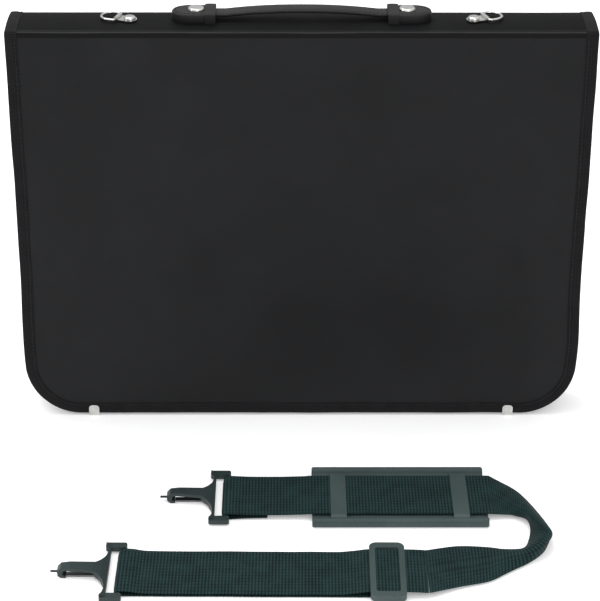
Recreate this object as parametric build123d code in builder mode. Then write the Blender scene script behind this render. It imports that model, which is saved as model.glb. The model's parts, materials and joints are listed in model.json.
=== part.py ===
"""A zipped A3 portfolio case standing on its four feet, with its shoulder strap laid in front.

Millimetres. +X runs along the spine, the front cover faces -Y and +Z is up. The origin is on
the ground, in the middle of the four feet. The case is closed: the spine and its handle are on
top, the zip runs down both sides and along the bottom.
"""
import os
from math import asin, cos, degrees, radians, sin

from build123d import *

os.makedirs("parts", exist_ok=True)

# ---- driving dimensions of the case -------------------------------------------------------
CASE_WIDTH = 480.0      # over the edge binding
CASE_DEPTH = 48.0       # front skin to back skin
SPINE_TOP = 362.0       # crown of the padded spine
SPINE_CROWN = 1.5       # how far the spine is domed
CORNER_RADIUS = 46.0    # the two opening corners of each cover
CREASE_RADIUS = 5.0     # rounded edge between a cover and the spine
FOOT_DROP = 2.0         # ground to the lowest edge of the binding

SKIN = 1.2
BOARD = 2.2
LINING = 0.6
BINDING_LEAF = 0.5
BINDING_EDGE = 1.0
BINDING_BAND = 10.0
TAPE_INSET = 6.0
TAPE = 0.8
TEETH_HALF = 1.2
TEETH_BACK = 3.2
TEETH_GAP = 0.5
TAPE_TOP = 351.0

# ---- driving dimensions of the spine hardware ---------------------------------------------
HANDLE_Y = 5.0
STRAP_HALF_WIDTH = 7.5
STRAP_THICKNESS = 3.0
TAB_INNER_X = 72.5
TAB_LENGTH = 33.5
TAB_HALF_WIDTH = 12.5
TAB_TOP = SPINE_TOP + 7.4
KEEPER_START_X = 70.0
KEEPER_END_X = 79.0
HANDLE_RIVET_X = 86.0
CLIP_RIVET_X = 140.0
CLIP_RIVET_Y = -1.0
SHANK_RADIUS = 2.0
RUNNING_FIT = 0.05

# ---- driving dimensions of the ring mechanism ---------------------------------------------
MECHANISM_HALF_LENGTH = 150.0
RING_RADIUS = 13.5
RING_WIRE = 1.5
RING_CENTRE_Z = 341.0
RING_XS = (-120.0, -40.0, 40.0, 120.0)
RING_ROOT_Y = 3.4       # where a ring half is fixed in its blade
BLADE_EDGE_Y = 7.4
BLADE_LOW = 353.6
BLADE_THICKNESS = 1.0

# ---- driving dimensions of the shoulder strap ---------------------------------------------
WEBBING_WIDTH = 56.0
WEBBING = 1.3
WEBBING_LOW = 4.4       # underside of the top layer where hardware carries it
UNDER_LAYER_LOW = 0.1
UPPER_RUN_Y = -160.0
UPPER_BAR_X = -61.5
LOWER_RUN_ANGLE = -0.5
LOWER_BAR_X = -102.0
PAD_START_X = 8.5
PAD_LENGTH = 144.0
PAD_WIDTH = 81.0

# ---- derived places -----------------------------------------------------------------------
HALF_DEPTH = CASE_DEPTH / 2
SPINE_EDGE_Z = SPINE_TOP - SPINE_CROWN
SPINE_HALF = HALF_DEPTH - CREASE_RADIUS
COVER_TOP = SPINE_EDGE_Z - CREASE_RADIUS
PANEL_HALF_LENGTH = CASE_WIDTH / 2 - BINDING_EDGE
COVER_THICKNESS = SKIN + BOARD + LINING
LINING_DEPTH = SKIN + BOARD
BINDING_DEPTH = COVER_THICKNESS + BINDING_LEAF
BOARD_HALF = SPINE_HALF - 1.5
FOAM_LOW = SPINE_EDGE_Z - SKIN - 0.7
BOARD_LOW = FOAM_LOW - BOARD
SPINE_LINING_LOW = BOARD_LOW - LINING


def save(piece, label):
    """Label a finished piece and write it as its own file."""
    piece.part.label = label
    export_step(piece.part, f"parts/{label}.step")


def cover_outline(inset, top=COVER_TOP):
    """Outline of a cover in X and Z: square at the crease, round at both opening corners."""
    half = CASE_WIDTH / 2 - inset
    low = FOOT_DROP + inset
    with BuildSketch() as outline:
        with Locations((0, (low + top) / 2)):
            Rectangle(2 * half, top - low)
        fillet(outline.vertices().group_by(Axis.Y)[0], CORNER_RADIUS - inset)
    return outline.sketch


def cover_layer(side, start, end):
    """Plane and signed height of a layer between two depths under a cover's outer face."""
    first = side * (HALF_DEPTH - start)
    last = side * (HALF_DEPTH - end)
    return Plane.XZ.offset(-first), first - last


def crease_arc(side, first_angle, last_angle):
    """Part of the rounded skin between a cover and the spine, as a profile in Y and Z."""
    centre = (side * SPINE_HALF, COVER_TOP)
    inner = CREASE_RADIUS - SKIN

    def point(radius, angle):
        return (
            centre[0] + side * radius * cos(radians(angle)),
            centre[1] + radius * sin(radians(angle)),
        )

    middle = (first_angle + last_angle) / 2
    with BuildSketch() as profile:
        with BuildLine():
            ThreePointArc(*[point(CREASE_RADIUS, a) for a in (first_angle, middle, last_angle)])
            Line(point(CREASE_RADIUS, last_angle), point(inner, last_angle))
            ThreePointArc(*[point(inner, a) for a in (last_angle, middle, first_angle)])
            Line(point(inner, first_angle), point(CREASE_RADIUS, first_angle))
        make_face()
    return profile.sketch


def dome_profile(half, top, edge, low):
    """Profile in Y and Z with a domed top and a flat underside."""
    with BuildSketch() as profile:
        with BuildLine():
            ThreePointArc((-half, edge), (0, top), (half, edge))
            Polyline((half, edge), (half, low), (-half, low), (-half, edge))
        make_face()
    return profile.sketch


# ---- covers -------------------------------------------------------------------------------
FOOT_X = 183.0
FOOT_HALF_WIDTH = 4.5
FOOT_LEAF = 0.9
FOOT_FRONT_TOP = 10.5
FOOT_BACK_TOP = 6.5


def make_cover(name, side):
    """All the fixed pieces of one cover. side is -1 for the front and +1 for the back."""
    panel = cover_outline(BINDING_EDGE)

    with BuildPart() as skin:
        plane, height = cover_layer(side, 0, SKIN)
        with BuildSketch(plane):
            add(panel)
        extrude(amount=height)
        with BuildSketch(Plane.YZ):
            add(crease_arc(side, 0, 44))
        extrude(amount=PANEL_HALF_LENGTH, both=True)
    save(skin, f"{name}_cover_skin")

    with BuildPart() as board:
        plane, height = cover_layer(side, SKIN, LINING_DEPTH)
        with BuildSketch(plane):
            add(panel)
        extrude(amount=height)
    save(board, f"{name}_cover_board")

    with BuildPart() as lining:
        plane, height = cover_layer(side, LINING_DEPTH, COVER_THICKNESS)
        with BuildSketch(plane):
            add(panel)
        extrude(amount=height)
    save(lining, f"{name}_cover_lining")

    with BuildPart() as binding:
        plane, height = cover_layer(side, -BINDING_LEAF, BINDING_DEPTH)
        with BuildSketch(plane):
            add(cover_outline(0))
            add(cover_outline(BINDING_BAND, COVER_TOP + 1), mode=Mode.SUBTRACT)
        extrude(amount=height)
        plane, height = cover_layer(side, 0, COVER_THICKNESS)
        with BuildSketch(plane):
            add(cover_outline(BINDING_EDGE, COVER_TOP + 1))
        extrude(amount=height, mode=Mode.SUBTRACT)
    save(binding, f"{name}_edge_binding")

    with BuildPart() as tape:
        plane, height = cover_layer(side, BINDING_DEPTH, HALF_DEPTH - TEETH_BACK)
        with BuildSketch(plane):
            add(cover_outline(TAPE_INSET, TAPE_TOP))
            add(cover_outline(TAPE_INSET + TAPE, TAPE_TOP + 1), mode=Mode.SUBTRACT)
        extrude(amount=height)
    save(tape, f"{name}_zip_tape")

    with BuildPart() as teeth:
        plane, height = cover_layer(side, HALF_DEPTH - TEETH_BACK, HALF_DEPTH - TEETH_GAP)
        middle = TAPE_INSET + TAPE / 2
        with BuildSketch(plane):
            add(cover_outline(middle - TEETH_HALF, TAPE_TOP))
            add(cover_outline(middle + TEETH_HALF, TAPE_TOP + 1), mode=Mode.SUBTRACT)
        extrude(amount=height)
    save(teeth, f"{name}_zip_teeth")

    with BuildPart() as feet:
        leaf_outside, outside = cover_layer(side, -BINDING_LEAF - FOOT_LEAF, -BINDING_LEAF)
        with BuildSketch(leaf_outside):
            with Locations((-FOOT_X, FOOT_FRONT_TOP / 2), (FOOT_X, FOOT_FRONT_TOP / 2)):
                RectangleRounded(2 * FOOT_HALF_WIDTH, FOOT_FRONT_TOP, 3)
        extrude(amount=outside)
        bridge, depth = cover_layer(side, -BINDING_LEAF - FOOT_LEAF, BINDING_DEPTH + FOOT_LEAF)
        with BuildSketch(bridge):
            with Locations((-FOOT_X, FOOT_DROP / 2), (FOOT_X, FOOT_DROP / 2)):
                Rectangle(2 * FOOT_HALF_WIDTH - 2, FOOT_DROP)
        extrude(amount=depth)
        leaf_inside, inside = cover_layer(side, BINDING_DEPTH, BINDING_DEPTH + FOOT_LEAF)
        with BuildSketch(leaf_inside):
            with Locations((-FOOT_X, FOOT_BACK_TOP / 2), (FOOT_X, FOOT_BACK_TOP / 2)):
                RectangleRounded(2 * FOOT_HALF_WIDTH, FOOT_BACK_TOP, 2)
        extrude(amount=inside)
    save(feet, f"{name}_feet")


make_cover("front", -1)
make_cover("back", 1)

# A shallow paper pocket on the back cover's lining, open along its top edge.
POCKET_HALF_WIDTH = 190.0
POCKET_LOW = 70.0
POCKET_TOP = 300.0
POCKET_DEPTH = 1.8
POCKET_SHEET = 0.6
POCKET_WELD = 6.0
with BuildPart() as document_pocket:
    plane, height = cover_layer(1, COVER_THICKNESS, COVER_THICKNESS + POCKET_DEPTH)
    with BuildSketch(plane):
        with Locations((0, (POCKET_LOW + POCKET_TOP) / 2)):
            Rectangle(2 * POCKET_HALF_WIDTH, POCKET_TOP - POCKET_LOW)
    extrude(amount=height)
    plane, height = cover_layer(1, COVER_THICKNESS, COVER_THICKNESS + POCKET_DEPTH - POCKET_SHEET)
    with BuildSketch(plane):
        with Locations((0, (POCKET_LOW + POCKET_WELD + POCKET_TOP + 1) / 2)):
            Rectangle(
                2 * (POCKET_HALF_WIDTH - POCKET_WELD), POCKET_TOP + 1 - POCKET_LOW - POCKET_WELD
            )
    extrude(amount=height, mode=Mode.SUBTRACT)
save(document_pocket, "document_pocket")

# ---- spine --------------------------------------------------------------------------------
RIVETS = [
    (-HANDLE_RIVET_X, HANDLE_Y),
    (HANDLE_RIVET_X, HANDLE_Y),
    (-CLIP_RIVET_X, CLIP_RIVET_Y),
    (CLIP_RIVET_X, CLIP_RIVET_Y),
]
WASHER_RADIUS = 6.0
WASHER = 1.0

with BuildPart() as spine_skin:
    with BuildSketch(Plane.YZ):
        add(dome_profile(SPINE_HALF, SPINE_TOP, SPINE_EDGE_Z, SPINE_EDGE_Z - SKIN))
        inner_top = SPINE_TOP - SKIN
        inner_edge = SPINE_EDGE_Z - SKIN
        add(dome_profile(SPINE_HALF, inner_top, inner_edge, inner_edge - 1), mode=Mode.SUBTRACT)
        add(crease_arc(-1, 46, 90))
        add(crease_arc(1, 46, 90))
    extrude(amount=PANEL_HALF_LENGTH, both=True)
    with BuildSketch(Plane.XY.offset(SPINE_EDGE_Z - SKIN)):
        with Locations(*RIVETS):
            Circle(SHANK_RADIUS)
    extrude(amount=SPINE_CROWN + 2 * SKIN, mode=Mode.SUBTRACT)
save(spine_skin, "spine_skin")

with BuildPart() as spine_padding:
    with BuildSketch(Plane.YZ):
        add(dome_profile(SPINE_HALF, SPINE_TOP - SKIN, SPINE_EDGE_Z - SKIN, FOAM_LOW))
    extrude(amount=PANEL_HALF_LENGTH, both=True)
    with BuildSketch(Plane.XY.offset(FOAM_LOW)):
        with Locations(*RIVETS):
            Circle(SHANK_RADIUS)
    extrude(amount=SPINE_TOP - FOAM_LOW, mode=Mode.SUBTRACT)
save(spine_padding, "spine_padding")

with BuildPart() as spine_board:
    with BuildSketch(Plane.XY.offset(BOARD_LOW)):
        Rectangle(2 * PANEL_HALF_LENGTH, 2 * BOARD_HALF)
        with Locations(*RIVETS):
            Circle(SHANK_RADIUS, mode=Mode.SUBTRACT)
    extrude(amount=BOARD)
    with BuildSketch(Plane.XY.offset(BOARD_LOW)):
        with Locations(*RIVETS):
            Circle(WASHER_RADIUS)
    extrude(amount=WASHER, mode=Mode.SUBTRACT)
save(spine_board, "spine_board")

with BuildPart() as spine_lining:
    with BuildSketch(Plane.XY.offset(SPINE_LINING_LOW)):
        Rectangle(2 * PANEL_HALF_LENGTH, 2 * SPINE_HALF)
    extrude(amount=LINING)
save(spine_lining, "spine_lining")

# Fabric caps folded over both ends of the spine.
with BuildPart() as spine_end_caps:
    for end in (-1, 1):
        with BuildSketch(Plane.YZ.offset(end * (CASE_WIDTH / 2 - BINDING_BAND))):
            add(
                dome_profile(
                    SPINE_HALF,
                    SPINE_TOP + BINDING_LEAF,
                    SPINE_EDGE_Z + BINDING_LEAF,
                    SPINE_LINING_LOW,
                )
            )
        extrude(amount=end * BINDING_BAND)
        with BuildSketch(Plane.YZ.offset(end * (CASE_WIDTH / 2 - BINDING_BAND))):
            add(dome_profile(SPINE_HALF, SPINE_TOP, SPINE_EDGE_Z, SPINE_LINING_LOW - 1))
        extrude(amount=end * (BINDING_BAND - BINDING_EDGE), mode=Mode.SUBTRACT)
save(spine_end_caps, "spine_end_caps")

# The space under the spine's outer surface, which the pieces on top of it are cut to.
with BuildPart() as spine_envelope:
    with BuildSketch(Plane.YZ):
        add(dome_profile(SPINE_HALF, SPINE_TOP, SPINE_EDGE_Z, SPINE_LINING_LOW))
    extrude(amount=PANEL_HALF_LENGTH, both=True)

# ---- handle -------------------------------------------------------------------------------
STRAP_END_LOW = SPINE_TOP + 3.1
STRAP_INNER_X = 62.0
STRAP_OUTER_X = 80.0
SLOT_CLEARANCE = 0.3
KEEPER_TOP = TAB_TOP + 1.0
KEEPER_HALF_WIDTH = TAB_HALF_WIDTH + 0.8


def tab_outline(hand):
    """D-shaped plan of a handle tab: square towards the handle, round at its outer end."""
    with BuildSketch() as outline:
        with Locations((hand * (TAB_INNER_X + TAB_LENGTH / 2), HANDLE_Y)):
            Rectangle(TAB_LENGTH, 2 * TAB_HALF_WIDTH)
        outer = outline.vertices().sort_by(Axis.X)
        chosen = outer[-2:] if hand > 0 else outer[:2]
        fillet(chosen, TAB_HALF_WIDTH - 0.5)
    return outline.sketch


def strap_slot(hand):
    """Clear slot that a handle end runs through."""
    with BuildPart() as slot:
        with BuildSketch(Plane.XY.offset(STRAP_END_LOW - SLOT_CLEARANCE)):
            with Locations((hand * (KEEPER_START_X + STRAP_OUTER_X) / 2, HANDLE_Y)):
                Rectangle(
                    STRAP_OUTER_X - KEEPER_START_X + 4, 2 * (STRAP_HALF_WIDTH + SLOT_CLEARANCE)
                )
        extrude(amount=STRAP_THICKNESS + 2 * SLOT_CLEARANCE)
    return slot.part


for hand, hand_name in ((-1, "left"), (1, "right")):
    outline = tab_outline(hand)
    slot = strap_slot(hand)

    with BuildPart() as handle_tab:
        with BuildSketch(Plane.XY.offset(SPINE_EDGE_Z - 1)):
            add(outline)
        extrude(amount=TAB_TOP - SPINE_EDGE_Z + 1)
        fillet(handle_tab.edges().group_by(Axis.Z)[-1], 1.2)
        add(spine_envelope.part, mode=Mode.SUBTRACT)
        add(slot, mode=Mode.SUBTRACT)
        with BuildSketch(Plane.XY.offset(SPINE_EDGE_Z - 1)):
            with Locations((hand * HANDLE_RIVET_X, HANDLE_Y)):
                Circle(SHANK_RADIUS)
        extrude(amount=TAB_TOP - SPINE_EDGE_Z + 2, mode=Mode.SUBTRACT)
    save(handle_tab, f"handle_tab_{hand_name}")

    with BuildPart() as handle_keeper:
        with BuildSketch(Plane.XY.offset(SPINE_EDGE_Z - 1)):
            with Locations((hand * (KEEPER_START_X + KEEPER_END_X) / 2, HANDLE_Y)):
                Rectangle(KEEPER_END_X - KEEPER_START_X, 2 * KEEPER_HALF_WIDTH)
        extrude(amount=KEEPER_TOP - SPINE_EDGE_Z + 1)
        fillet(handle_keeper.edges().filter_by(Axis.X).group_by(Axis.Z)[-1], 1.0)
        with BuildSketch(Plane.XY.offset(SPINE_EDGE_Z - 2)):
            add(outline)
        extrude(amount=TAB_TOP - SPINE_EDGE_Z + 2, mode=Mode.SUBTRACT)
        add(spine_envelope.part, mode=Mode.SUBTRACT)
        add(slot, mode=Mode.SUBTRACT)
    save(handle_keeper, f"handle_keeper_{hand_name}")

    with BuildPart() as handle_end:
        with BuildSketch(Plane.XY.offset(STRAP_END_LOW)):
            with Locations((hand * (STRAP_INNER_X + STRAP_OUTER_X) / 2, HANDLE_Y)):
                Rectangle(STRAP_OUTER_X - STRAP_INNER_X, 2 * STRAP_HALF_WIDTH)
        extrude(amount=STRAP_THICKNESS)
        fillet(handle_end.edges().filter_by(Axis.X), 1.0)
    save(handle_end, f"handle_end_{hand_name}")

# The grip is a shallow arch, so that fingers find a gap under it.
GRIP_HALF = STRAP_INNER_X - 0.3
GRIP_END_LOW = STRAP_END_LOW
GRIP_CROWN_LOW = SPINE_TOP + 6.6
CORE_HALF = 57.0
CORE_HALF_WIDTH = 5.0
CORE_INSET = 1.1


def arch_profile(half, end_low, crown_low, thickness):
    """Profile in X and Z of a strip bent to a shallow arch."""
    with BuildSketch() as profile:
        with BuildLine():
            ThreePointArc((-half, end_low), (0, crown_low), (half, end_low))
            Line((half, end_low), (half, end_low + thickness))
            ThreePointArc(
                (half, end_low + thickness), (0, crown_low + thickness), (-half, end_low + thickness)
            )
            Line((-half, end_low + thickness), (-half, end_low))
        make_face()
    return profile.sketch


core_sag = (GRIP_CROWN_LOW - GRIP_END_LOW) * (CORE_HALF / GRIP_HALF) ** 2
core_crown = GRIP_CROWN_LOW + CORE_INSET
with BuildPart() as handle_core:
    with BuildSketch(Plane.XZ.offset(-HANDLE_Y)):
        add(arch_profile(CORE_HALF, core_crown - core_sag, core_crown, STRAP_THICKNESS - 2 * CORE_INSET))
    extrude(amount=CORE_HALF_WIDTH, both=True)
save(handle_core, "handle_core")

with BuildPart() as handle_grip:
    with BuildSketch(Plane.XZ.offset(-HANDLE_Y)):
        add(arch_profile(GRIP_HALF, GRIP_END_LOW, GRIP_CROWN_LOW, STRAP_THICKNESS))
    extrude(amount=STRAP_HALF_WIDTH, both=True)
    add(handle_core.part, mode=Mode.SUBTRACT)
save(handle_grip, "handle_grip")

# ---- rivets through the spine -------------------------------------------------------------
CLIP_PLATE_LOW = SPINE_TOP + 0.4
CLIP_PLATE = 1.0
CLIP_HEAD_LOW = CLIP_PLATE_LOW + CLIP_PLATE + 0.1


def rivet_group(x, y, head_low, head_radius, head_height):
    """A pair of domed rivets, each with its shank down through the spine to the washer."""
    with BuildPart() as rivets:
        with BuildSketch(Plane.XY.offset(BOARD_LOW + WASHER)):
            with Locations((-x, y), (x, y)):
                Circle(SHANK_RADIUS)
        extrude(amount=head_low + head_height / 2 - BOARD_LOW - WASHER)
        with BuildSketch(Plane.XY.offset(head_low)):
            with Locations((-x, y), (x, y)):
                Circle(head_radius)
        extrude(amount=head_height)
        rims = rivets.edges().group_by(Axis.Z)[-1]
        fillet(rims, head_height * 0.85)
    return rivets


save(rivet_group(HANDLE_RIVET_X, HANDLE_Y, TAB_TOP, 6.75, 2.2), "handle_rivets")
save(rivet_group(CLIP_RIVET_X, CLIP_RIVET_Y, CLIP_HEAD_LOW, 5.0, 2.4), "clip_rivets")

with BuildPart() as rivet_washers:
    with BuildSketch(Plane.XY.offset(BOARD_LOW)):
        with Locations(*RIVETS):
            Circle(WASHER_RADIUS)
    extrude(amount=WASHER)
save(rivet_washers, "rivet_washers")

# ---- D-ring clips -------------------------------------------------------------------------
CLIP_ANGLES = {"left": 162.0, "right": 20.0}
RING_BAR_DISTANCE = 10.5
RING_BAR_Z = SPINE_TOP + 2.0
D_WIRE = 1.1
D_HALF_WIDTH = 8.5
D_STRAIGHT = 5.0
D_CORNER = 2.0
KNUCKLE_RADIUS = 1.7
KNUCKLE_HALF_LENGTH = 5.5


def clip_frame(hand_name, z):
    """Plane at height z over a clip's rivet, with its X towards the D-ring."""
    hand = -1 if hand_name == "left" else 1
    angle = radians(CLIP_ANGLES[hand_name])
    return Plane(
        origin=(hand * CLIP_RIVET_X, CLIP_RIVET_Y, z),
        x_dir=(cos(angle), sin(angle), 0),
        z_dir=(0, 0, 1),
    )


for hand_name in ("left", "right"):
    angle = radians(CLIP_ANGLES[hand_name])
    base = clip_frame(hand_name, 0)
    across = Plane(
        origin=base.from_local_coords((RING_BAR_DISTANCE, 0, RING_BAR_Z)),
        x_dir=(0, 0, 1),
        z_dir=base.y_dir,
    )

    with BuildPart() as clip_plate:
        with BuildSketch(clip_frame(hand_name, CLIP_PLATE_LOW)):
            Circle(6.0)
            with Locations((RING_BAR_DISTANCE / 2, 0)):
                Rectangle(RING_BAR_DISTANCE, 2 * KNUCKLE_HALF_LENGTH)
            Circle(SHANK_RADIUS + RUNNING_FIT, mode=Mode.SUBTRACT)
        extrude(amount=CLIP_PLATE)
        with BuildSketch(across):
            Circle(KNUCKLE_RADIUS)
        extrude(amount=KNUCKLE_HALF_LENGTH, both=True)
        with BuildSketch(across):
            Circle(D_WIRE + RUNNING_FIT)
        extrude(amount=2 * KNUCKLE_HALF_LENGTH, both=True, mode=Mode.SUBTRACT)
    save(clip_plate, f"clip_plate_{hand_name}")

    with BuildPart() as d_ring:
        with BuildLine(Plane(base.from_local_coords((0, 0, RING_BAR_Z)), base.x_dir, base.z_dir)):
            bar = RING_BAR_DISTANCE
            near = D_HALF_WIDTH - D_CORNER
            half_turn = bar + D_STRAIGHT
            Line((bar, -near), (bar, near))
            RadiusArc((bar, near), (bar + D_CORNER, D_HALF_WIDTH), D_CORNER)
            Line((bar + D_CORNER, D_HALF_WIDTH), (half_turn, D_HALF_WIDTH))
            ThreePointArc(
                (half_turn, D_HALF_WIDTH), (half_turn + D_HALF_WIDTH, 0), (half_turn, -D_HALF_WIDTH)
            )
            Line((half_turn, -D_HALF_WIDTH), (bar + D_CORNER, -D_HALF_WIDTH))
            RadiusArc((bar + D_CORNER, -D_HALF_WIDTH), (bar, -near), D_CORNER)
        start = Plane(
            origin=base.from_local_coords((bar, -near, RING_BAR_Z)), z_dir=base.y_dir
        )
        with BuildSketch(start):
            Circle(D_WIRE)
        sweep()
    save(d_ring, f"d_ring_{hand_name}")

# ---- zip sliders and pulls ----------------------------------------------------------------
SLIDER_Z = 335.0
SLIDER_HALF_LENGTH = 6.0
SLIDER_HALF_WIDTH = 5.0
WING_GAP = 0.4
OUTER_WING = 2.0
INNER_WING = 1.6
LUG_HEIGHT = 2.8
PULL_PIN = 0.8
PULL_LENGTH = 26.0
TEETH_X = CASE_WIDTH / 2 - TAPE_INSET - TAPE / 2

for hand, hand_name in ((-1, "left"), (1, "right")):
    teeth_top = TEETH_X + TEETH_HALF
    wing_low = teeth_top + WING_GAP
    wing_top = wing_low + OUTER_WING
    inner_top = TEETH_X - TEETH_HALF - WING_GAP
    inner_low = inner_top - INNER_WING
    pin_x = wing_top + 1.5
    pin_z = SLIDER_Z + 2.0

    with BuildPart() as zip_slider:
        with BuildSketch(Plane.XZ):
            for low, high in ((wing_low, wing_top), (inner_low, inner_top)):
                with Locations((hand * (low + high) / 2, SLIDER_Z)):
                    Rectangle(high - low, 2 * SLIDER_HALF_LENGTH)
        extrude(amount=SLIDER_HALF_WIDTH, both=True)
        fillet(zip_slider.edges().filter_by(Axis.X), 2.0)
        with BuildSketch(Plane.XZ):
            with Locations((hand * (inner_low + wing_top) / 2, SLIDER_Z)):
                Rectangle(wing_top - inner_low, 2 * SLIDER_HALF_LENGTH)
        extrude(amount=0.2, both=True)
        with BuildSketch(Plane.XZ):
            with Locations((hand * (wing_top + LUG_HEIGHT / 2 - 0.2), SLIDER_Z + 1)):
                Rectangle(LUG_HEIGHT + 0.4, 6)
            with Locations((hand * pin_x, pin_z)):
                Circle(PULL_PIN + RUNNING_FIT, mode=Mode.SUBTRACT)
        extrude(amount=1.2, both=True)
    save(zip_slider, f"zip_slider_{hand_name}")

    with BuildPart() as zip_pull:
        with BuildSketch(Plane.XZ):
            with Locations((hand * pin_x, pin_z)):
                Circle(PULL_PIN)
        extrude(amount=3.4, both=True)
        with BuildSketch(Plane.XZ):
            with Locations((hand * pin_x, pin_z - 4)):
                RectangleRounded(1.6, 10, 0.7)
        extrude(amount=3.4, both=True)
        with BuildSketch(Plane.XZ):
            with Locations((hand * pin_x, pin_z - 3)):
                Rectangle(6, 9)
        extrude(amount=1.6, both=True, mode=Mode.SUBTRACT)
        with BuildSketch(Plane.XZ):
            with Locations((hand * pin_x, pin_z)):
                Circle(PULL_PIN)
        extrude(amount=3.4, both=True)
        with BuildSketch(Plane.YZ.offset(hand * pin_x)):
            with Locations((0, pin_z - 8 - (PULL_LENGTH - 8) / 2)):
                RectangleRounded(8, PULL_LENGTH - 8, 2.5)
        extrude(amount=0.7, both=True)
    save(zip_pull, f"zip_pull_{hand_name}")

# ---- ring mechanism -----------------------------------------------------------------------
PLATE_HALF_WIDTH = 11.5
PLATE_DEPTH = 5.2
PLATE = 0.8
RING_SLOT_Y = 5.2
RING_SLOT_LENGTH = 8.4
LEVER_PIVOT_X = MECHANISM_HALF_LENGTH + 2.0
LEVER_PIVOT_Z = SPINE_LINING_LOW - 2.0
LEVER_LENGTH = 11.5
LEVER_HALF_WIDTH = 5.0

with BuildPart() as ring_base_plate:
    crown = SPINE_LINING_LOW - PLATE_DEPTH
    with BuildSketch(Plane.YZ):
        with BuildLine():
            ThreePointArc(
                (-PLATE_HALF_WIDTH, SPINE_LINING_LOW), (0, crown), (PLATE_HALF_WIDTH, SPINE_LINING_LOW)
            )
            Line((PLATE_HALF_WIDTH, SPINE_LINING_LOW), (PLATE_HALF_WIDTH - 1, SPINE_LINING_LOW))
            ThreePointArc(
                (PLATE_HALF_WIDTH - 1, SPINE_LINING_LOW),
                (0, crown + PLATE),
                (1 - PLATE_HALF_WIDTH, SPINE_LINING_LOW),
            )
            Line((1 - PLATE_HALF_WIDTH, SPINE_LINING_LOW), (-PLATE_HALF_WIDTH, SPINE_LINING_LOW))
        make_face()
    extrude(amount=MECHANISM_HALF_LENGTH, both=True)
    with BuildSketch(Plane.XY.offset(crown - 1)):
        with Locations(*[(x, side * RING_SLOT_Y) for x in RING_XS for side in (-1, 1)]):
            Rectangle(2 * RING_WIRE + 3, RING_SLOT_LENGTH)
    extrude(amount=PLATE_DEPTH, mode=Mode.SUBTRACT)
save(ring_base_plate, "ring_base_plate")

with BuildPart() as ring_plate_rivets:
    with BuildSketch(Plane.XY.offset(crown - 1)):
        with Locations((-MECHANISM_HALF_LENGTH + 8, 0), (MECHANISM_HALF_LENGTH - 8, 0)):
            Circle(4)
    extrude(amount=1)
    fillet(ring_plate_rivets.edges().group_by(Axis.Z)[0], 0.7)
save(ring_plate_rivets, "ring_plate_rivets")

BLADE_START = 0.3
BLADE_END_GAP = 14.0
TIP_GAP = 0.15
HALF_RING_ANGLE = 180 - degrees(asin(RING_ROOT_Y / RING_RADIUS))
for side, side_name in ((-1, "front"), (1, "back")):
    with BuildPart() as ring_blade:
        with BuildSketch(Plane.XY.offset(BLADE_LOW)):
            with Locations((0, side * (BLADE_START + BLADE_EDGE_Y) / 2)):
                Rectangle(2 * (MECHANISM_HALF_LENGTH - BLADE_END_GAP), BLADE_EDGE_Y - BLADE_START)
        extrude(amount=BLADE_THICKNESS)
        for x in RING_XS:
            with BuildSketch(Plane((x, side * TIP_GAP, RING_CENTRE_Z - RING_RADIUS), z_dir=(0, side, 0))):
                Circle(RING_WIRE)
            revolve(axis=Axis((x, 0, RING_CENTRE_Z), (side, 0, 0)), revolution_arc=HALF_RING_ANGLE)
    save(ring_blade, f"{side_name}_ring_blade")

for hand, hand_name in ((-1, "left"), (1, "right")):
    with BuildPart() as ring_lever:
        with BuildSketch(Plane.YZ.offset(hand * LEVER_PIVOT_X)):
            with Locations((0, LEVER_PIVOT_Z - LEVER_LENGTH / 2)):
                RectangleRounded(2 * LEVER_HALF_WIDTH, LEVER_LENGTH, 3)
        extrude(amount=0.7, both=True)
        with BuildSketch(Plane.XZ):
            with Locations((hand * LEVER_PIVOT_X, LEVER_PIVOT_Z)):
                Circle(1.3)
        extrude(amount=LEVER_HALF_WIDTH - 1, both=True)
    save(ring_lever, f"ring_lever_{hand_name}")

# ---- sleeves on the rings -----------------------------------------------------------------
SLEEVE_YS = (-3.0, 0.0, 3.0)
SLEEVE_HALF_WIDTH = 212.0
SLEEVE_TOP = RING_CENTRE_Z - RING_RADIUS + 8.0
SLEEVE_LOW = SLEEVE_TOP - 313.0
SLEEVE_HALF = 0.6
INSERT_HALF = 0.2
HOLE_RADIUS = 4.25
INSERT_HALF_WIDTH = 210.0
with BuildPart() as clear_sleeves:
    for y in SLEEVE_YS:
        with BuildSketch(Plane.XZ.offset(-y)):
            with Locations((0, (SLEEVE_LOW + SLEEVE_TOP) / 2)):
                RectangleRounded(2 * SLEEVE_HALF_WIDTH, SLEEVE_TOP - SLEEVE_LOW, 3)
            with Locations(*[(x, RING_CENTRE_Z - RING_RADIUS) for x in RING_XS]):
                Circle(HOLE_RADIUS, mode=Mode.SUBTRACT)
        extrude(amount=SLEEVE_HALF, both=True)
        with BuildSketch(Plane.XZ.offset(-y)):
            with Locations((0, SLEEVE_LOW + 1 + 149)):
                Rectangle(2 * INSERT_HALF_WIDTH + 1, 298)
        extrude(amount=INSERT_HALF + 0.1, both=True, mode=Mode.SUBTRACT)
save(clear_sleeves, "clear_sleeves")

with BuildPart() as paper_inserts:
    for y in SLEEVE_YS:
        with BuildSketch(Plane.XZ.offset(-y)):
            with Locations((0, SLEEVE_LOW + 1.2 + 148.5)):
                Rectangle(2 * INSERT_HALF_WIDTH, 297)
        extrude(amount=INSERT_HALF, both=True)
save(paper_inserts, "paper_inserts")

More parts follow.
